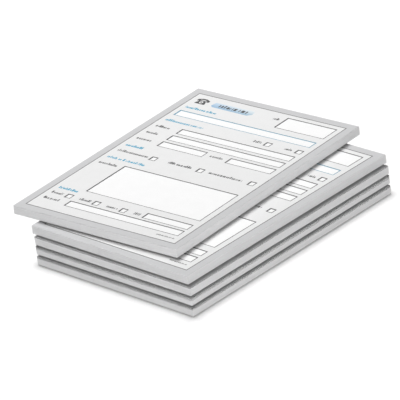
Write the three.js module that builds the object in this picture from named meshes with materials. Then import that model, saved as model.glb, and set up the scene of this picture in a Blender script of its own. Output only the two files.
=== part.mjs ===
// A stack of five glued telephone message pads, as they lie on a desk: four almost square to each
// other, and the top one shifted and turned.
//
// Millimetres, +Z up. The origin is the middle of the lowest pad's underside. +Y points to the
// glued head edge, where the sheets hinge, and +X to the right-hand side of the printed form.

import * as THREE from 'three';

// Sheets and board, trimmed together to one size
const SHEET_WIDTH = 105;
const SHEET_LENGTH = 148;
const SHEET_THICKNESS = 0.09;
const SHEETS_PER_PAD = 50;
const BOARD_THICKNESS = 0.5;

// Film of padding glue on the head edge
const FILM_THICKNESS = 0.3;
const FILM_ROUNDING = 0.15;
const FILM_GAP = 0.05;
const FILM_FOOT = 0.1;
const FILM_TOP_DROP = 0.3;
const FILM_ROUNDING_STEPS = 3;

// Sheets of the top pad that turn one by one at the head edge, the uppermost first
const FREE_SHEETS = ['printed_sheet', 'second_sheet', 'third_sheet'];

// The pads from the lowest up: where each one's middle lies, and its turn about the vertical
const PADS = [
  { name: 'pad_1', x: 0, y: 0, turnDegrees: 0, freeSheets: ['printed_sheet'] },
  { name: 'pad_2', x: -0.9, y: 1, turnDegrees: 0, freeSheets: ['printed_sheet'] },
  { name: 'pad_3', x: -1.3, y: 1.4, turnDegrees: 0, freeSheets: ['printed_sheet'] },
  { name: 'pad_4', x: -3.6, y: 2.8, turnDegrees: 0, freeSheets: ['printed_sheet'] },
  { name: 'pad_5', x: -24.6, y: 10.2, turnDegrees: 3.6, freeSheets: FREE_SHEETS },
];

const PAD_THICKNESS = BOARD_THICKNESS + SHEETS_PER_PAD * SHEET_THICKNESS;

const MATERIALS = {
  printedPaper: { color: 0xe6e6e7, roughness: 0.85, metalness: 0 },
  pageEdges: { color: 0xcfcfd0, roughness: 0.9, metalness: 0 },
  greyBoard: { color: 0xbdbdba, roughness: 0.92, metalness: 0 },
  glueFilm: { color: 0xe9e7df, roughness: 0.45, metalness: 0 },
};

function named(name, geometry, material) {
  const mesh = new THREE.Mesh(geometry, new THREE.MeshStandardMaterial(MATERIALS[material]));
  mesh.name = name;
  return mesh;
}

// A flat layer of the pad's plan size, lying from the height z up.
function layer(name, z, thickness, material) {
  const mesh = named(name, new THREE.BoxGeometry(SHEET_WIDTH, SHEET_LENGTH, thickness), material);
  mesh.position.z = z + thickness / 2;
  return mesh;
}

// The film's section, with x measured out from the head edge and y up. Its inner side is flat
// against the trimmed sheets, and its outer edges are rounded.
function filmSection(height) {
  const r = Math.min(FILM_ROUNDING, FILM_THICKNESS, height / 2);
  const section = new THREE.Shape();
  section.moveTo(0, 0);
  section.lineTo(FILM_THICKNESS - r, 0);
  section.absarc(FILM_THICKNESS - r, r, r, -Math.PI / 2, 0, false);
  section.lineTo(FILM_THICKNESS, height - r);
  section.absarc(FILM_THICKNESS - r, height - r, r, 0, Math.PI / 2, false);
  section.lineTo(0, height);
  section.closePath();
  return section;
}

// The film covers the board and the sheets that stay glued, and stops short of the free ones.
function glueFilm(name, gluedHeight) {
  const height = gluedHeight - FILM_FOOT - FILM_TOP_DROP;
  const geometry = new THREE.ExtrudeGeometry(filmSection(height), {
    depth: SHEET_WIDTH,
    bevelEnabled: false,
    curveSegments: FILM_ROUNDING_STEPS,
  });
  // The section's x becomes +Y, its y becomes +Z and the extrusion runs along +X.
  geometry.applyMatrix4(new THREE.Matrix4().makeBasis(
    new THREE.Vector3(0, 1, 0),
    new THREE.Vector3(0, 0, 1),
    new THREE.Vector3(1, 0, 0),
  ));
  const mesh = named(name, geometry, 'glueFilm');
  mesh.position.set(-SHEET_WIDTH / 2, SHEET_LENGTH / 2 + FILM_GAP, FILM_FOOT);
  return mesh;
}

function buildPad({ name, x, y, turnDegrees, freeSheets }, baseHeight) {
  const pad = new THREE.Group();
  pad.position.set(x, y, baseHeight);
  pad.rotation.z = THREE.MathUtils.degToRad(turnDegrees);

  const gluedSheets = SHEETS_PER_PAD - freeSheets.length;
  const blockThickness = gluedSheets * SHEET_THICKNESS;
  pad.add(layer(`${name}_backing_board`, 0, BOARD_THICKNESS, 'greyBoard'));
  pad.add(layer(`${name}_page_block`, BOARD_THICKNESS, blockThickness, 'pageEdges'));
  pad.add(glueFilm(`${name}_glue_strip`, BOARD_THICKNESS + blockThickness));

  freeSheets.forEach((sheet, fromTop) => {
    const z = PAD_THICKNESS - (fromTop + 1) * SHEET_THICKNESS;
    pad.add(layer(`${name}_${sheet}`, z, SHEET_THICKNESS, 'printedPaper'));
  });
  return pad;
}

const stack = new THREE.Group();
PADS.forEach((place, level) => stack.add(buildPad(place, level * PAD_THICKNESS)));

export default stack;
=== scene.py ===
"""Looks of a stack of five glued telephone message pads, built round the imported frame.

Metres, +Z up. Each pad is made in its own coordinates, in millimetres: x across the sheet from its
middle, y towards the glued head edge, z up from the board's underside. Its place and turn are read
from the frame, and the pieces are put there.
"""
import math
import random

import bpy
import numpy as np
from mathutils import Matrix, Vector, noise
from mathutils.geometry import delaunay_2d_cdt

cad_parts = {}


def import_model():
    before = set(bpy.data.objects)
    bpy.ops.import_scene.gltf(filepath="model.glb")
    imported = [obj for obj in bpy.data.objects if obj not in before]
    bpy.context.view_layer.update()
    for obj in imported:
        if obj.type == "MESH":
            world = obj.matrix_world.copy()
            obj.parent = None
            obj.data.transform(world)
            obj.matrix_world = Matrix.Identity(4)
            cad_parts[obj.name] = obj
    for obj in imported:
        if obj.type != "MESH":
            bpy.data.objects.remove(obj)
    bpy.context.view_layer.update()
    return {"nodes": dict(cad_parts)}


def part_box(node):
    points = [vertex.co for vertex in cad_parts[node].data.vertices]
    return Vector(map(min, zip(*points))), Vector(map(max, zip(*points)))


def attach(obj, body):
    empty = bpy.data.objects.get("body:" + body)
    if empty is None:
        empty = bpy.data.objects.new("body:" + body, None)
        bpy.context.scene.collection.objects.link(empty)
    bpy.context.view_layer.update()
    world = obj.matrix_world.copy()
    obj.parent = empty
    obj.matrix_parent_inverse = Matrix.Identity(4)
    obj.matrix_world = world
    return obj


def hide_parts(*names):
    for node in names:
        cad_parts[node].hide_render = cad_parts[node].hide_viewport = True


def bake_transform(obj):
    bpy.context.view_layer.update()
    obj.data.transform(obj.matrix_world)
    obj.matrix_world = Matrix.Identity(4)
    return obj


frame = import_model()

MM = 0.001

# Pads from the lowest up, and the sizes of their sheets and boards in millimetres
PADS = ("pad_1", "pad_2", "pad_3", "pad_4", "pad_5")
TOP_PAD = "pad_5"
SHEET_WIDTH = 105.0
SHEET_LENGTH = 148.0
SHEET_THICKNESS = 0.09
BOARD_THICKNESS = 0.5

# Heights inside one sheet's thickness: paper, then the ink on it
PAPER_UNDERSIDE = 0.01
PAPER_TOP = 0.07
INK_SINK = 0.02
INK_TOP = 0.085

# The printed form
FORM_MARGIN = 4.4
FRAME_LINE = 0.47
TOP_LINE = 0.65
LEFT_LINE = 0.87
BOTTOM_LINE = 0.34
RIGHT_LINE = 0.44
CHECK_BOX = 4.0
CHECK_BOX_WEIGHT = 1.06
CHARACTER_HEIGHT = 1.42
ASCENDER_HEIGHT = 2.15
SMALL_CHARACTER_HEIGHT = 0.95
TITLE_CHARACTER_HEIGHT = 2.4
TITLE_ASCENDER_HEIGHT = 3.0
# Width of the marks, as a multiple of a plain letter's strokes
LABEL_BOLDNESS = 1.5
HEADING_BOLDNESS = 1.75
TITLE_BOLDNESS = 1.6

# How far from the head edge the sheet is cut across, and the step between the cuts
BEND_LENGTH = 12.0
BEND_STEP = 0.75


def linear(red, green, blue):
    """Linear colour of an sRGB one given from 0 to 255."""
    return tuple(
        c / 12.92 if c <= 0.04045 else ((c + 0.055) / 1.055) ** 2.4
        for c in (red / 255, green / 255, blue / 255)
    )


# Materials

# Depth of the surfaces' fine relief in millimetres
PAPER_TOOTH = 0.006
INK_TOOTH = 0.004
EDGE_TOOTH = 0.01
BOARD_TOOTH = 0.03
GLUE_STROKES = 0.02
BUMP_STRENGTH = 0.5

# How much the paper's tone varies, and the roughness of paper and of ink
PAPER_VARIATION = 0.02
PAPER_ROUGHNESS = (0.78, 0.92)
INK_ROUGHNESS = (0.5, 0.7)

# Specular level of paper and ink, of trimmed edges and board, of the glue and of the floor
PRINT_SPECULAR = 0.3
RAW_SPECULAR = 0.25
GLUE_SPECULAR = 0.5
FLOOR_SPECULAR = 0.1

# Distance between the board's flecks in millimetres
FLECK_SPACING = 1.3


class Nodes:
    """A material's node tree, with one short call for each node."""

    # Sockets of a Mix node for colours
    COLOUR_A, COLOUR_B, COLOUR_OUT = 6, 7, 2

    def __init__(self, name, specular):
        self.material = bpy.data.materials.new(name)
        self.material.use_nodes = True
        self.tree = self.material.node_tree
        self.shader = self.tree.nodes["Principled BSDF"]
        self.shader.inputs["Specular IOR Level"].default_value = specular
        self.place = self.add("ShaderNodeTexCoord").outputs["Object"]

    def add(self, kind, **settings):
        node = self.tree.nodes.new(kind)
        for name, value in settings.items():
            setattr(node, name, value)
        return node

    def join(self, source, socket):
        self.tree.links.new(source, socket)

    def shift_by_pad(self):
        """Move the coordinates by a way of its own for each pad, so that no two pads look alike."""
        own = self.add("ShaderNodeAttribute", attribute_name=PAD_SHIFT)
        node = self.add("ShaderNodeVectorMath", operation="ADD")
        self.join(self.place, node.inputs[0])
        self.join(own.outputs["Fac"], node.inputs[1])
        self.place = node.outputs[0]

    def stretched(self, scale):
        """The piece's coordinates, multiplied by three numbers."""
        node = self.add("ShaderNodeVectorMath", operation="MULTIPLY")
        self.join(self.place, node.inputs[0])
        node.inputs[1].default_value = scale
        return node.outputs[0]

    def noise(self, size_mm, detail=2.0, rough=0.5, place=None):
        """Noise whose grains are about size_mm across."""
        node = self.add("ShaderNodeTexNoise")
        self.join(place or self.place, node.inputs["Vector"])
        node.inputs["Scale"].default_value = 1 / (size_mm * MM)
        node.inputs["Detail"].default_value = detail
        node.inputs["Roughness"].default_value = rough
        return node.outputs["Fac"]

    def ranged(self, source, low, high, start=0.3, end=0.7):
        """source from start to end turned into low to high."""
        node = self.add("ShaderNodeMapRange")
        self.join(source, node.inputs["Value"])
        for name, value in (
            ("From Min", start),
            ("From Max", end),
            ("To Min", low),
            ("To Max", high),
        ):
            node.inputs[name].default_value = value
        return node.outputs[0]

    def sum(self, *sources):
        """The sources added up."""
        total = sources[0]
        for source in sources[1:]:
            node = self.add("ShaderNodeMath", operation="ADD")
            self.join(total, node.inputs[0])
            self.join(source, node.inputs[1])
            total = node.outputs[0]
        return total

    def mixed(self, factor, first, second):
        """The first colour where factor is 0 and the second where it is 1."""
        node = self.add("ShaderNodeMix", data_type="RGBA")
        self.join(factor, node.inputs["Factor"])
        for index, colour in ((self.COLOUR_A, first), (self.COLOUR_B, second)):
            if isinstance(colour, bpy.types.NodeSocket):
                self.join(colour, node.inputs[index])
            else:
                node.inputs[index].default_value = (*colour, 1)
        return node.outputs[self.COLOUR_OUT]

    def scaled(self, colour, source):
        """colour times a number that varies round 1."""
        node = self.add("ShaderNodeMix", data_type="RGBA", blend_type="MULTIPLY")
        node.inputs["Factor"].default_value = 1
        node.inputs[self.COLOUR_A].default_value = (*colour, 1)
        self.join(source, node.inputs[self.COLOUR_B])
        return node.outputs[self.COLOUR_OUT]

    def bump(self, source, depth_mm):
        """Relief that follows source, at most about depth_mm deep."""
        node = self.add("ShaderNodeBump")
        node.inputs["Distance"].default_value = depth_mm * MM
        node.inputs["Strength"].default_value = BUMP_STRENGTH
        self.join(source, node.inputs["Height"])
        self.join(node.outputs["Normal"], self.shader.inputs["Normal"])


def fibre_grain(m):
    """Grain of the paper's fibres, which lie along the sheet."""
    return m.noise(0.5, detail=4, rough=0.65, place=m.stretched((1.0, 0.35, 1.0)))


def paper(name, colour):
    """Uncoated paper, a flat tone printed on it, or the painted shade in leaves' grooves: soft
    clouding, fibre grain and a fine tooth.
    """
    m = Nodes(name, PRINT_SPECULAR)
    clouds = m.ranged(m.noise(6.0, detail=3), -PAPER_VARIATION / 2, PAPER_VARIATION / 2)
    fibres = fibre_grain(m)
    grain = m.ranged(fibres, 1 - PAPER_VARIATION, 1 + PAPER_VARIATION)
    m.join(m.scaled(colour, m.sum(grain, clouds)), m.shader.inputs["Base Color"])
    m.join(m.ranged(fibres, *PAPER_ROUGHNESS), m.shader.inputs["Roughness"])
    m.bump(m.sum(m.noise(0.12, detail=3, rough=0.6), fibres), PAPER_TOOTH)
    return m.material


def ink(name, colour):
    """Printing ink. Its colour is even, and its surface has a fine tooth."""
    m = Nodes(name, PRINT_SPECULAR)
    m.shader.inputs["Base Color"].default_value = (*colour, 1)
    tooth = m.noise(0.15, detail=3, rough=0.6)
    m.join(m.ranged(tooth, *INK_ROUGHNESS), m.shader.inputs["Roughness"])
    m.bump(tooth, INK_TOOTH)
    return m.material


def band_material():
    """The title's tinted band, which grows paler towards its upper edge and its right end."""
    m = Nodes("form_band", PRINT_SPECULAR)
    place = m.add("ShaderNodeAttribute", attribute_name=ON_SHEET)
    parts = m.add("ShaderNodeSeparateXYZ")
    m.join(place.outputs["Vector"], parts.inputs[0])
    x0, x1, y = TITLE_BAND
    grain = fibre_grain(m)
    uneven = m.ranged(grain, -0.06, 0.06)
    along = m.sum(m.ranged(parts.outputs["X"], 0, 1, x0, x1), uneven)
    up = m.sum(m.ranged(parts.outputs["Y"], 0, 1, y - BAND_FADE, y + BAND_FADE), uneven)
    low = m.mixed(along, BAND_LEFT, BAND_RIGHT)
    high = m.mixed(along, BAND_LEFT_TOP, BAND_RIGHT_TOP)
    m.join(m.mixed(up, low, high), m.shader.inputs["Base Color"])
    m.join(m.ranged(grain, 0.7, 0.85), m.shader.inputs["Roughness"])
    m.bump(m.sum(m.noise(0.12, detail=3, rough=0.6), grain), PAPER_TOOTH)
    return m.material


def page_edge_material():
    """Trimmed edges of many sheets: a tone for each sheet, and long faint marks of the blade."""
    m = Nodes("page_edges", RAW_SPECULAR)
    m.shift_by_pad()
    leaves = m.noise(0.16, rough=0.7, place=m.stretched((0.02, 0.02, 1.0)))
    bundles = m.noise(0.8, rough=0.6, place=m.stretched((0.03, 0.03, 1.0)))
    drift = m.noise(14.0, place=m.stretched((1.0, 1.0, 3.0)))
    blade = m.noise(0.5, rough=0.6, place=m.stretched((1.0, 1.0, 0.08)))
    tone = m.sum(
        m.ranged(leaves, 0.95, 1.05),
        m.ranged(bundles, -0.012, 0.012),
        m.ranged(drift, -0.008, 0.008),
        m.ranged(blade, -0.01, 0.01),
    )
    m.join(m.scaled(PAGE_EDGE, tone), m.shader.inputs["Base Color"])
    m.join(m.ranged(leaves, 0.82, 0.95), m.shader.inputs["Roughness"])
    m.bump(m.sum(blade, m.noise(0.1)), EDGE_TOOTH)
    return m.material


def board_material():
    """Grey board made from waste paper: pale and dark flecks in a felted grey."""
    m = Nodes("grey_board", RAW_SPECULAR)
    m.shift_by_pad()
    felt = m.noise(0.7, detail=5, rough=0.65, place=m.stretched((1.0, 0.5, 1.0)))
    flecks = m.add("ShaderNodeTexVoronoi", feature="F1")
    m.join(m.place, flecks.inputs["Vector"])
    flecks.inputs["Scale"].default_value = 1 / (FLECK_SPACING * MM)
    spots = m.ranged(flecks.outputs["Distance"], 1.0, 0.0, 0.08, 0.2)
    base = m.scaled(GREY_BOARD, m.ranged(felt, 0.93, 1.06))
    m.join(m.mixed(spots, base, FLECK), m.shader.inputs["Base Color"])
    m.join(m.ranged(felt, 0.85, 0.97), m.shader.inputs["Roughness"])
    m.bump(felt, BOARD_TOOTH)
    return m.material


def glue_material():
    """Dried padding glue: milky and slightly shiny, thinner and duller in places."""
    m = Nodes("padding_glue", GLUE_SPECULAR)
    m.shift_by_pad()
    film = m.noise(5.0, place=m.stretched((0.5, 1.0, 1.0)))
    strokes = m.noise(0.5, detail=3, rough=0.55, place=m.stretched((0.06, 1.0, 1.0)))
    cover = m.sum(m.ranged(film, 0, 0.75), m.ranged(strokes, 0, 0.25))
    m.join(m.mixed(cover, GLUE_THIN, GLUE), m.shader.inputs["Base Color"])
    m.join(m.ranged(cover, 0.42, 0.3, 0, 1), m.shader.inputs["Roughness"])
    m.bump(m.sum(film, strokes), GLUE_STROKES)
    return m.material


# Kept on the points of the meshes: the place on the flat sheet in millimetres, because a sheet that
# bends has no coordinates of its own, and a pad's shift of its texture in metres
ON_SHEET = "on_sheet"
PAD_SHIFT = "pad_shift"
SHIFT_STEP = 0.0173

# The title's band: left, right and middle height, how far up and down from there its tone changes,
# and its tones at the foot and at the top of that
TITLE_BAND = (-33.2, -6.2, 61.9)
BAND_FADE = 2.4
BAND_LEFT = linear(148, 181, 210)
BAND_RIGHT = linear(160, 188, 206)
BAND_LEFT_TOP = linear(200, 218, 234)
BAND_RIGHT_TOP = linear(226, 233, 235)

# Tones of the trimmed edges, the board and its flecks, and the glue where it's thick and thin
PAGE_EDGE = (0.77, 0.77, 0.775)
GREY_BOARD = (0.44, 0.44, 0.43)
FLECK = (0.3, 0.295, 0.28)
GLUE = (0.81, 0.805, 0.78)
GLUE_THIN = (0.75, 0.745, 0.725)

MATERIAL = {
    "paper": paper("form_paper", (0.92, 0.92, 0.92)),
    "tint": paper("form_tint", (0.80, 0.80, 0.80)),
    "margin": paper("form_margin", (0.58, 0.58, 0.588)),
    "band": band_material(),
    "black": ink("ink_black", (0.04, 0.04, 0.042)),
    "grey": ink("ink_grey", (0.09, 0.09, 0.09)),
    "blue": ink("ink_blue", linear(72, 134, 158)),
    "heading": ink("ink_heading", linear(52, 152, 184)),
    "edges": page_edge_material(),
    # A dark tone for the grooves between loose leaves: painted shade, not the paper's own colour.
    "gaps": paper("leaf_gaps_painted_shade", (0.14, 0.14, 0.141)),
    "board": board_material(),
    "glue": glue_material(),
}


# Flat shapes of the print, in millimetres, each a tone or ink and an outline turning left


def rectangle(x0, y0, x1, y1):
    """The outline from the lower left corner to the upper right one."""
    return [(x0, y0), (x1, y0), (x1, y1), (x0, y1)]


def disc(x, y, radius, sides=28):
    """The outline of a round spot."""
    angles = (2 * math.pi * i / sides for i in range(sides))
    return [(x + radius * math.cos(a), y + radius * math.sin(a)) for a in angles]


HALF_WIDTH = SHEET_WIDTH / 2 - FORM_MARGIN
HALF_LENGTH = SHEET_LENGTH / 2 - FORM_MARGIN

# Writing fields: left, right, top, bottom and the ink of their lines
LEFT, MIDDLE, RIGHT = -44.5, -29.2, 44.2
FIELDS = (
    (13.0, 44.7, 66.2, 54.2, "black"),
    (LEFT, RIGHT, 49.4, 43.2, "blue"),
    (MIDDLE, RIGHT, 31.9, 26.3, "black"),
    (MIDDLE, RIGHT, 24.1, 18.5, "black"),
    (MIDDLE, 0.2, 16.4, 10.8, "black"),
    (15.0, RIGHT, 16.4, 10.8, "black"),
    (MIDDLE, RIGHT, -14.4, -45.2, "black"),
    (15.2, RIGHT, -49.9, -55.2, "black"),
    (MIDDLE, RIGHT, -56.8, -62.4, "black"),
)
# Check boxes: their middles
CHECKS = (
    (22.5, 37.0),
    (42.4, 37.0),
    (-21.0, -1.6),
    (9.5, -1.6),
    (42.4, -1.6),
    (-33.2, -53.3),
    (-15.4, -53.3),
    (2.1, -53.3),
)
# Places of short words: left, right, middle height
LABELS = (
    (6.5, 10.1, 62.2),
    (13.5, 18.4, 36.8),
    (33.4, 38.2, 36.8),
    (LEFT, -35.7, 29.2),
    (LEFT, -37.2, 21.4),
    (LEFT, -35.2, 13.7),
    (3.7, 11.8, 13.5),
    (LEFT, -24.9, -1.6),
    (-11.2, 3.8, -1.6),
    (15.0, 36.0, -1.6),
    (LEFT, -32.9, -16.6),
    (LEFT, -37.2, -53.4),
    (-26.3, -19.3, -53.4),
    (-8.6, -1.8, -53.4),
    (9.0, 12.9, -53.4),
    (LEFT, -34.8, -59.6),
)
HEADINGS = (
    (LEFT, -24.5, 53.6),
    (LEFT, -19.8, 37.1),
    (LEFT, -33.6, 4.9),
    (LEFT, -20.4, -9.8),
    (LEFT, -31.9, -47.8),
)
SMALL_PRINT = (33.3, RIGHT, -65.4)
TITLE = (-28.6, -10.2, 61.8)
TELEPHONE = (-40.3, 62.2)


# Widths of the marks and of the gaps between them, as shares of their height
MARK_WIDTHS = (0.1, 0.52)
MARK_GAPS = (0.1, 0.42)
# How many marks are tall, and how many have a space after them, and how wide it is
TALL_SHARE = 0.25
SPACE_SHARE = 0.07
SPACE_WIDTH = 0.4
# Least room for one more mark, as a share of the height
MARK_ROOM = 0.15

LABEL_SEED = 100
HEADING_SEED = 200
SMALL_PRINT_SEED = 300
TITLE_SEED = 400


def word_marks(x0, x1, y, height, tall, tone, seed, bold=1.0):
    """Short upright marks that stand for a word, and spell nothing."""
    draw = random.Random(seed)
    shapes = []
    x = x0
    base = y - height / 2
    while x < x1 - MARK_ROOM * height:
        width = min(draw.uniform(*MARK_WIDTHS) * height * bold, x1 - x)
        top = base + (tall if draw.random() < TALL_SHARE else height * draw.uniform(0.9, 1.0))
        shapes.append((tone, rectangle(x, base, x + width, top)))
        x += width + draw.uniform(*MARK_GAPS) * height
        if draw.random() < SPACE_SHARE:
            x += SPACE_WIDTH * height
    return shapes


def field(x0, x1, top, bottom, tone):
    """A white field's lines: heavy at the top and left, fine at the bottom and right.

    Those of a check box are all a little heavier.
    """
    weight = CHECK_BOX_WEIGHT if x1 - x0 < 2 * CHECK_BOX else 1
    return [
        (tone, rectangle(x0, bottom, x1, bottom + BOTTOM_LINE * weight)),
        (tone, rectangle(x1 - RIGHT_LINE * weight, bottom, x1, top)),
        (tone, rectangle(x0, top - TOP_LINE * weight, x1, top)),
        (tone, rectangle(x0, bottom, x0 + LEFT_LINE * weight, top)),
    ]


def boxes():
    """Every white field and check box."""
    half = CHECK_BOX / 2
    checks = [(x - half, x + half, y + half, y - half, "black") for x, y in CHECKS]
    return [*FIELDS, *checks]


def telephone(x, y):
    """A plain pictogram: a handset across a body with a round dial.

    Its outlines are in millimetres from its middle, and are narrowed as a whole.
    """
    narrowing = 0.88
    body = [(-3.6, -2.9), (3.6, -2.9), (3.6, -1.9), (1.9, 1.1), (-1.9, 1.1), (-3.6, -1.9)]
    steps = 12
    rise = [math.sin(math.pi * i / steps) for i in range(steps + 1)]
    across = [4.4 - 8.8 * i / steps for i in range(steps + 1)]
    # The handset's grip curves up between its two ears.
    over = [(a, 1.75 + 1.35 * r) for a, r in zip(across, rise)]
    under = [(a * 0.62, 1.35 + 0.45 * r) for a, r in zip(across, rise)]
    left_ear = [(-4.4, 0.15), (-2.2, 0.15), (-2.2, 1.35), (-2.73, 1.35)]
    right_ear = [(2.73, 1.35), (2.2, 1.35), (2.2, 0.15), (4.4, 0.15)]
    handset = over + left_ear + under[::-1][1:-1] + right_ear
    shapes = [
        ("black", body),
        (None, disc(0, -0.95, 1.25)),
        ("black", disc(0, -0.95, 0.55)),
        ("black", handset),
    ]
    return [
        (tone, [(x + narrowing * a, y + b) for a, b in outline]) for tone, outline in shapes
    ]


def tones():
    """The printed sheet's flat tones: a darker margin, the tinted form and its white fields."""
    shapes = [
        (
            "margin",
            rectangle(-SHEET_WIDTH / 2, -SHEET_LENGTH / 2, SHEET_WIDTH / 2, SHEET_LENGTH / 2),
        ),
        ("tint", rectangle(-HALF_WIDTH, -HALF_LENGTH, HALF_WIDTH, HALF_LENGTH)),
    ]
    shapes += [("paper", rectangle(x0, y0, x1, y1)) for x0, x1, y1, y0, _ in boxes()]
    x0, x1, y = TITLE_BAND
    # A bar with uneven, slanting ends
    band = [(x0, y - 1.2), (x0 + 1.6, y - 2.7), (x1 - 2.4, y - 3.0), (x1, y - 1.0)]
    band += [(x1 - 0.8, y + 2.6), (x0 + 0.8, y + 2.4)]
    shapes.append(("band", band))
    return shapes


def lines():
    """The printed sheet's lines, word marks, title and pictogram."""
    inner_width, inner_length = HALF_WIDTH - FRAME_LINE, HALF_LENGTH - FRAME_LINE
    shapes = [
        ("grey", rectangle(-HALF_WIDTH, -HALF_LENGTH, HALF_WIDTH, HALF_LENGTH)),
        (None, rectangle(-inner_width, -inner_length, inner_width, inner_length)),
    ]
    for box in boxes():
        shapes += field(*box)
    heights = (CHARACTER_HEIGHT, ASCENDER_HEIGHT)
    for seed, place in enumerate(LABELS, LABEL_SEED):
        shapes += word_marks(*place, *heights, "black", seed, LABEL_BOLDNESS)
    for seed, place in enumerate(HEADINGS, HEADING_SEED):
        shapes += word_marks(*place, *heights, "heading", seed, HEADING_BOLDNESS)
    heights = (SMALL_CHARACTER_HEIGHT, SMALL_CHARACTER_HEIGHT)
    shapes += word_marks(*SMALL_PRINT, *heights, "grey", SMALL_PRINT_SEED)
    heights = (TITLE_CHARACTER_HEIGHT, TITLE_ASCENDER_HEIGHT)
    shapes += word_marks(*TITLE, *heights, "black", TITLE_SEED, TITLE_BOLDNESS)
    return shapes + telephone(*TELEPHONE)


# Meshes


def bend_lines():
    """Heights along the sheet near the head edge at which it's cut across."""
    count = round(BEND_LENGTH / BEND_STEP)
    return [SHEET_LENGTH / 2 - BEND_STEP * i for i in range(1, count + 1)]


# The triangulation keeps what lies inside the outlines, and merges points this close in millimetres.
INSIDE_OUTLINES = 1
MERGE_DISTANCE = 1e-6


def arranged(shapes):
    """Points and triangles of overlapping shapes, each triangle with the tone drawn last on it."""
    points, cuts, outlines = [], [], []
    for _, outline in shapes:
        outlines.append(list(range(len(points), len(points) + len(outline))))
        points += [Vector(p) for p in outline]
    for y in bend_lines():
        cuts.append((len(points), len(points) + 1))
        points += [Vector((-SHEET_WIDTH / 2, y)), Vector((SHEET_WIDTH / 2, y))]
    made = delaunay_2d_cdt(points, cuts, outlines, INSIDE_OUTLINES, MERGE_DISTANCE)
    places, triangles, owners = made[0], made[2], made[5]
    kept = [
        (triangle, shapes[max(owner)][0])
        for triangle, owner in zip(triangles, owners)
        if owner and shapes[max(owner)][0]
    ]
    return places, kept


def slab(name, shapes, low, high, underside=None, rim=None):
    """A closed flat layer from low to high, with the shapes' tones on top.

    Where the tones of its underside and rim aren't given, they have the tone above them.
    """
    places, kept = arranged(shapes)
    tones_used = sorted({tone for _, tone in kept} | {t for t in (underside, rim) if t})
    used = sorted({i for triangle, _ in kept for i in triangle})
    index = {old: new for new, old in enumerate(used)}
    count = len(used)
    vertices = [(*places[i], z) for z in (low, high) for i in used]
    faces, slots = [], []
    sides = {}
    for triangle, tone in kept:
        a, b, c = (index[i] for i in triangle)
        slot = tones_used.index(tone)
        faces += [(a + count, b + count, c + count), (c, b, a)]
        slots += [slot, tones_used.index(underside or tone)]
        for edge in ((a, b), (b, c), (c, a)):
            sides[edge] = tones_used.index(rim or tone)
    for (a, b), slot in sides.items():
        if (b, a) not in sides:
            faces.append((a, b, b + count, a + count))
            slots.append(slot)
    mesh = mesh_of(name, vertices, faces, tones_used, slots)
    on_sheet = mesh.attributes.new(ON_SHEET, "FLOAT_VECTOR", "POINT")
    on_sheet.data.foreach_set("vector", [c for v in vertices for c in v])
    return mesh


def mesh_of(name, vertices, faces, tones_used, slots=None, pad_number=0):
    """A mesh from millimetres, with a material for each tone and its pad's shift of the texture."""
    mesh = bpy.data.meshes.new(name)
    mesh.from_pydata([[c * MM for c in v] for v in vertices], [], faces)
    for tone in tones_used:
        mesh.materials.append(MATERIAL[tone])
    if slots:
        mesh.polygons.foreach_set("material_index", slots)
    mesh.update()
    mesh.validate()
    shift = mesh.attributes.new(PAD_SHIFT, "FLOAT", "POINT")
    shift.data.foreach_set("value", [pad_number * SHIFT_STEP] * len(vertices))
    return mesh


# How quickly the wander of an edge changes along it, in 1/mm
WANDER_PACE = 0.08


def ring(inset, wander, seed, steps_across, steps_along):
    """Points round the sheet's outline, moved in by a gentle wander and by an inset on each side.

    The insets are those at the right, head, left and foot. The wander leaves the corners alone.
    """
    corners = (
        (SHEET_WIDTH / 2 - inset[0], -SHEET_LENGTH / 2 + inset[3]),
        (SHEET_WIDTH / 2 - inset[0], SHEET_LENGTH / 2 - inset[1]),
        (-SHEET_WIDTH / 2 + inset[2], SHEET_LENGTH / 2 - inset[1]),
        (-SHEET_WIDTH / 2 + inset[2], -SHEET_LENGTH / 2 + inset[3]),
    )
    outward = ((1, 0), (0, 1), (-1, 0), (0, -1))
    points = []
    for side in range(4):
        (x0, y0), (x1, y1) = corners[side], corners[(side + 1) % 4]
        steps = steps_along if side % 2 == 0 else steps_across
        for i in range(steps):
            t = i / steps
            x, y = x0 + (x1 - x0) * t, y0 + (y1 - y0) * t
            if i:
                move = -wander * (0.5 + 0.5 * noise.noise((x * WANDER_PACE, y * WANDER_PACE, seed)))
                x += outward[side][0] * move
                y += outward[side][1] * move
            points.append((x, y))
    return points


def rings_mesh(name, rings, pad_number):
    """A closed solid through rings: (z, points, tone above them), from the lowest up."""
    count = len(rings[0][1])
    vertices = [(x, y, z) for z, points, _ in rings for x, y in points]
    tones_used = sorted({tone for _, _, tone in rings})
    faces = [list(reversed(range(count)))]
    slots = [tones_used.index(rings[0][2])]
    for level in range(len(rings) - 1):
        low, high = level * count, (level + 1) * count
        for i in range(count):
            j = (i + 1) % count
            faces.append((low + i, low + j, high + j, high + i))
        slots += [tones_used.index(rings[level][2])] * count
    top = (len(rings) - 1) * count
    faces.append(list(range(top, top + count)))
    slots.append(tones_used.index(rings[-1][2]))
    return mesh_of(name, vertices, faces, tones_used, slots, pad_number)


# Leaves of a page block, in millimetres: how far an edge stands back at most, how deep the groove
# to the next leaf is, how far an edge wanders, and how much of a leaf's room is edge, not groove
LEAF_SHIFT = 0.05
LEAF_GROOVE = 0.06
LEAF_WANDER = 0.04
LEAF_EDGE_SHARE = 0.74
# Points of an edge across and along the sheet
LEAF_STEPS = (8, 12)
# How far the noise of the wander moves on from block to block and from leaf to leaf
BLOCK_SEED_STEP = 100
LEAF_SEED_STEP = 0.37
# The head's place among the four sides: right, head, left and foot
HEAD_SIDE = 1
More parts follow.
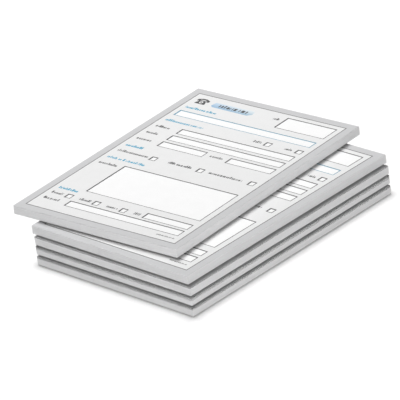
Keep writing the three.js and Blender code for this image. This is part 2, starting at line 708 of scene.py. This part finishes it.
# The grooves of these loose leaves take a dark tone: painted shade under the pad above.
# The uppermost leaves of the three lowest pads stand looser, with deeper and wider grooves. The
# height that they take up and their grooves' depth, at the right, head, left and foot, and how much
# of that height it is on each pad:
LOOSE_SIDES = ((2.4, 1.0), (2.0, 0.0), (2.0, 0.5), (2.0, 0.5))
LOOSE_PADS = {"pad_1": 0.58, "pad_2": 0.8, "pad_3": 0.25}
# How much of the loosest leaf's room is edge, and how steeply the looseness grows towards it
LOOSE_EDGE_SHARE = 0.15
LOOSE_CURVE = 1.25


def page_block(name, low, high, seed, looseness):
    """Trimmed sheets that lie closely together.

    Each leaf's edge stands a little in or out, with a fine groove to the next.
    """
    draw = random.Random(seed)
    leaves = round((high - low) / SHEET_THICKNESS)
    pitch = (high - low) / leaves
    rings = []
    for leaf in range(leaves):
        z = low + leaf * pitch
        under = high - z - pitch
        loose = [
            max(1 - under / (height * looseness), 0) ** LOOSE_CURVE if looseness else 0
            for height, _ in LOOSE_SIDES
        ]
        share = LEAF_EDGE_SHARE + (LOOSE_EDGE_SHARE - LEAF_EDGE_SHARE) * max(loose)
        # The head side is flush, because the glue holds it.
        shift = [draw.uniform(0, LEAF_SHIFT) for _ in range(4)]
        shift[HEAD_SIDE] = 0
        leaf_seed = seed * BLOCK_SEED_STEP + leaf * LEAF_SEED_STEP
        edge = ring(shift, LEAF_WANDER, leaf_seed, *LEAF_STEPS)
        groove = [
            back + LEAF_GROOVE + (depth - LEAF_GROOVE) * looser
            for back, (_, depth), looser in zip(shift, LOOSE_SIDES, loose)
        ]
        groove[HEAD_SIDE] = 0
        inner = ring(groove, LEAF_WANDER, leaf_seed, *LEAF_STEPS)
        middle_of_gap = min(z + pitch * (1 + share) / 2, high)
        # Where the leaves stand loose, their grooves take the dark tone: painted shade where the pad
        # above shades them.
        gap = "gaps" if max(loose) > 0 else "edges"
        rings += [(z, edge, "edges"), (z + pitch * share, edge, gap), (middle_of_gap, inner, gap)]
    rings.append((high, edge, "edges"))
    return rings_mesh(name, rings, seed)


# How far the board's underside rises along its rim, on the lowest pad and on the others, over what
# width, and how far its edge wanders
LOWEST_RIM_LIFT = 0.24
RIM_LIFT = 0.45
RIM_WIDTH = 4.0
RIM_WANDER = 0.05
# How far the noise of the wander moves on for each millimetre up
RIM_SEED_STEP = 3
# Points of the outline across and along the board
RIM_STEPS = (40, 56)
# The rim's section: how far up and how far in, as shares of its rise and width
RIM_SECTION = (
    (0.0, 1.0),
    (0.25, 0.6),
    (0.65, 0.3),
    (0.9, 0.12),
    (1.0, 0.0),
)


def backing_board(name, seed, lift):
    """A thin board whose rim the trimmer's blade has pressed up and round."""
    section = [(lift * up, RIM_WIDTH * inward) for up, inward in RIM_SECTION]
    rings = []
    for z, inset in (*section, (BOARD_THICKNESS, 0.0)):
        outline = ring([inset] * 4, RIM_WANDER, seed + z * RIM_SEED_STEP, *RIM_STEPS)
        rings.append((z, outline, "board"))
    return rings_mesh(name, rings, seed)


# The film of glue, in millimetres: its thickness, its foot's height above the board's underside and
# how far its upper and lower edges waver, and the share by which its thickness changes
FILM_THICKNESS = 0.2
FILM_FOOT = 0.4
FILM_TOP_WAVER = 0.12
FILM_FOOT_WAVER = 0.04
FILM_SWELL = 0.14
FILM_STEPS = 90
# How quickly each of these changes along the film, in 1/mm, and the noise's third coordinate for it
FILM_TOP_NOISE = (0.25, 3.1)
FILM_FOOT_NOISE = (0.3, 5.3)
FILM_SWELL_NOISE = (0.6, 7.7)
# How far the noise of the thickness moves on from the foot to the top
FILM_SWELL_RISE = 2.0
# The film's section: how far out and how far up, as shares of its thickness and height
FILM_SECTION = (
    (0.0, 0.0),
    (0.45, 0.0),
    (0.85, 0.05),
    (1.0, 0.2),
    (0.96, 0.5),
    (0.9, 0.8),
    (0.6, 0.95),
    (0.25, 1.0),
    (0.0, 1.0),
)


def along_film(x, seed, kind):
    """Smooth noise from about -1 to 1 along the film."""
    pace, third = kind
    return noise.noise((x * pace, seed, third))


def glue_film(name, height, seed):
    """A brushed-on film over the head edge: uneven in thickness, and thin along a wavering top edge."""
    head = SHEET_LENGTH / 2
    vertices, faces = [], []
    for i in range(FILM_STEPS + 1):
        x = -SHEET_WIDTH / 2 + SHEET_WIDTH * i / FILM_STEPS
        top = height - FILM_TOP_WAVER * (0.5 + 0.5 * along_film(x, seed, FILM_TOP_NOISE))
        foot = FILM_FOOT + FILM_FOOT_WAVER * along_film(x, seed, FILM_FOOT_NOISE)
        for out, up in FILM_SECTION:
            change = along_film(x, seed + up * FILM_SWELL_RISE, FILM_SWELL_NOISE)
            swell = 1 - FILM_SWELL + FILM_SWELL * change
            y = head + out * FILM_THICKNESS * swell
            vertices.append((x, y, foot + (top - foot) * up))
    count = len(FILM_SECTION)
    for i in range(FILM_STEPS):
        for j in range(count):
            k = (j + 1) % count
            a, b = i * count, (i + 1) * count
            faces.append((a + j, a + k, b + k, b + j))
    faces.append(list(reversed(range(count))))
    last = FILM_STEPS * count
    faces.append(list(range(last, last + count)))
    return mesh_of(name, vertices, faces, ["glue"], None, seed)


def place_of(pad):
    """The pad's own coordinates in the row frame, from the corners of its board."""
    node = frame["nodes"][f"{pad}_backing_board"]
    corners = np.unique(
        np.round([(v.co.x, v.co.y) for v in node.data.vertices], 6), axis=0
    )
    middle = corners.mean(axis=0)
    foot = sorted(corners.tolist(), key=lambda p: p[1])[:2]
    left, right = sorted(foot)
    turn = math.atan2(right[1] - left[1], right[0] - left[0])
    low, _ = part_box(f"{pad}_backing_board")
    return Matrix.Translation((*middle, low.z)) @ Matrix.Rotation(turn, 4, "Z")


def put(name, mesh, place, raised=0.0):
    """The mesh as a piece at the pad's place, raised by some millimetres."""
    piece = bpy.data.objects.new(name, mesh)
    bpy.context.scene.collection.objects.link(piece)
    piece.matrix_world = place @ Matrix.Translation((0, 0, raised * MM))
    return piece


def fixed(piece, body, node):
    """The piece moves with a body, and stands for a node of the frame."""
    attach(piece, body)
    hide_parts(node)


def height_in(pad, node):
    """Lowest and highest level of a node above its pad's underside, in millimetres."""
    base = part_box(f"{pad}_backing_board")[0].z
    low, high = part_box(f"{pad}_{node}")
    return (low.z - base) / MM, (high.z - base) / MM


def bent(piece):
    """The piece's place is baked into its mesh."""
    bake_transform(piece)


FORM_SHEET = slab("form_sheet", tones(), PAPER_UNDERSIDE, PAPER_TOP, "paper", "edges")
FORM_PRINT = slab("form_print", lines(), PAPER_TOP - INK_SINK, INK_TOP)


def printed_sheet(pad, place, node, body, name):
    """A sheet and its print, which ride together. On the page block it is the uppermost leaf."""
    level = height_in(pad, node)[1] - SHEET_THICKNESS
    sheet = put(name, FORM_SHEET.copy(), place, level)
    printing = put(f"{name}_print", FORM_PRINT.copy(), place, level)
    for piece in (sheet, printing):
        if body in PADS:
            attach(piece, body)
        else:
            bent(piece)
    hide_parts(f"{pad}_{node}")
    return sheet


LOWER_PIECES = []
for number, pad in enumerate(PADS, 1):
    place = place_of(pad)
    block_low, block_high = height_in(pad, "page_block")
    if pad == TOP_PAD:
        block_high -= SHEET_THICKNESS
        printed_sheet(pad, place, "page_block", pad, "form_sheet_5")
    lift = LOWEST_RIM_LIFT if number == 1 else RIM_LIFT
    board = put(f"backing_board_{number}", backing_board("backing_board", number, lift), place)
    fixed(board, pad, f"{pad}_backing_board")
    block = put(
        f"page_block_{number}",
        page_block("page_block", block_low, block_high, number, LOOSE_PADS.get(pad, 0)),
        place,
    )
    fixed(block, pad, f"{pad}_page_block")
    film_top = height_in(pad, "glue_strip")[1]
    film = put(f"glue_film_{number}", glue_film("glue_film", film_top, number), place)
    fixed(film, pad, f"{pad}_glue_strip")
    if pad == TOP_PAD:
        for from_top, sheet in ((3, "third_sheet"), (2, "second_sheet"), (1, "printed_sheet")):
            printed_sheet(pad, place, sheet, sheet, f"loose_sheet_{from_top}")
    else:
        sheet = printed_sheet(pad, place, "printed_sheet", pad, f"form_sheet_{number}")
        LOWER_PIECES += [board, block, film, sheet]


# Floor, light and camera

# The floor's colour for the camera, and its weaker one for the light that it throws on the pads
FLOOR_AS_SEEN = (0.9, 0.9, 0.9)
FLOOR_AS_REFLECTOR = (0.5, 0.5, 0.5)
# White that the camera sees in the floor near the pads. It grows to 1, plain white, between these
# two distances from the middle, in metres.
NEAR_GLOW = 0.12
GLOW_DISTANCES = (0.14, 0.65)
FLOOR_REACH = 3.0
FLOOR_ROUGHNESS = 0.9


def floor():
    """A plain pale floor that fades to white away from the pads."""
    m = Nodes("floor", FLOOR_SPECULAR)
    m.shader.inputs["Roughness"].default_value = FLOOR_ROUGHNESS
    path = m.add("ShaderNodeLightPath")
    seen = path.outputs["Is Camera Ray"]
    m.join(m.mixed(seen, FLOOR_AS_REFLECTOR, FLOOR_AS_SEEN), m.shader.inputs["Base Color"])
    away = m.add("ShaderNodeVectorMath", operation="LENGTH")
    m.join(m.place, away.inputs[0])
    brighter = m.ranged(away.outputs["Value"], NEAR_GLOW, 1.0, *GLOW_DISTANCES)
    glow = m.add("ShaderNodeMath", operation="MULTIPLY")
    m.join(seen, glow.inputs[0])
    m.join(brighter, glow.inputs[1])
    m.shader.inputs["Emission Color"].default_value = (1, 1, 1, 1)
    m.join(glow.outputs[0], m.shader.inputs["Emission Strength"])
    mesh = bpy.data.meshes.new("floor")
    corners = rectangle(-FLOOR_REACH, -FLOOR_REACH, FLOOR_REACH, FLOOR_REACH)
    mesh.from_pydata([(x, y, 0) for x, y in corners], [], [(0, 1, 2, 3)])
    mesh.materials.append(m.material)
    stage = bpy.data.objects.new("floor", mesh)
    bpy.context.scene.collection.objects.link(stage)
    return stage


# Strength of the world's light on the pads and the floor
WORLD_LIGHT = 0.08


def world():
    """Even white light, which the camera and shiny surfaces see as plain white."""
    sky = bpy.data.worlds.new("studio")
    sky.use_nodes = True
    tree = sky.node_tree
    background = tree.nodes["Background"]
    background.inputs["Color"].default_value = (1, 1, 1, 1)
    path = tree.nodes.new("ShaderNodeLightPath")
    seen = tree.nodes.new("ShaderNodeMath")
    seen.operation = "MAXIMUM"
    tree.links.new(path.outputs["Is Camera Ray"], seen.inputs[0])
    tree.links.new(path.outputs["Is Glossy Ray"], seen.inputs[1])
    strength = tree.nodes.new("ShaderNodeMapRange")
    tree.links.new(seen.outputs[0], strength.inputs["Value"])
    strength.inputs["To Min"].default_value = WORLD_LIGHT
    strength.inputs["To Max"].default_value = 1.0
    tree.links.new(strength.outputs[0], background.inputs["Strength"])
    bpy.context.scene.world = sky


def group(name, members, state="INCLUDE"):
    """A named set of objects that a lamp lights, or leaves out, or that stand in its light."""
    made = bpy.data.collections.new(name)
    for member in members:
        made.objects.link(member)
    for entry in made.collection_objects:
        entry.light_linking.link_state = state
    return made


def lamp(name, location, size, power):
    """A rectangular lamp that faces the origin and that the camera doesn't see.

    Its place and its width and height are in metres, and its power in watts.
    """
    data = bpy.data.lights.new(name, "AREA")
    data.shape = "RECTANGLE"
    data.size, data.size_y = size
    data.energy = power
    light = bpy.data.objects.new(name, data)
    light.location = location
    light.rotation_euler = (-Vector(location)).to_track_quat("-Z", "Y").to_euler()
    light.visible_camera = False
    bpy.context.scene.collection.objects.link(light)
    return light


stage = floor()
world()

# The lamp in front stands low, so that it lights the trimmed sides and little of the gaps between
# the pads.
lamp("front", (1.14, -1.124, 0.1), (1.2, 0.18), 22.2)

# The lamp behind the stack lights the pads, and its shadows lie in front of them. The lamp overhead
# lights the floor alone, and there the top pad, which overhangs the others, casts no shadow.
behind = lamp("behind", (-1.04, 0.62, 2.08), (1.04, 1.04), 63.0)
behind.light_linking.receiver_collection = group("not_the_floor", [stage], "EXCLUDE")
overhead = lamp("overhead", (-0.25, 0.2, 1.2), (0.6, 0.6), 15.7)
overhead.light_linking.receiver_collection = group("the_floor", [stage])
overhead.light_linking.blocker_collection = group("lower_pads", LOWER_PIECES)

# The camera, fitted to the corners of the pads in the photograph. Its focal length is given as a
# multiple of the picture's width.
SENSOR_WIDTH = 36.0
FOCAL_SHARE = 3817 / 400
RIGHTWARD = Vector((0.7344, 0.66916, -0.11345))
DOWNWARD = Vector((0.22681, -0.39951, -0.88823))
CAMERA_PLACE = (1.20878, -1.19233, 0.86139)


def camera():
    """The camera at the photograph's viewing angle."""
    data = bpy.data.cameras.new("camera")
    data.sensor_width = SENSOR_WIDTH
    data.lens = FOCAL_SHARE * SENSOR_WIDTH
    data.clip_start, data.clip_end = 0.1, 20.0
    eye = bpy.data.objects.new("camera", data)
    right = RIGHTWARD.normalized()
    back = right.cross(-DOWNWARD).normalized()
    up = back.cross(right)
    turn = Matrix((right, up, back)).transposed().to_4x4()
    eye.matrix_world = Matrix.Translation(CAMERA_PLACE) @ turn
    bpy.context.scene.collection.objects.link(eye)
    bpy.context.scene.camera = eye


camera()
bpy.context.scene.view_settings.view_transform = "Standard"
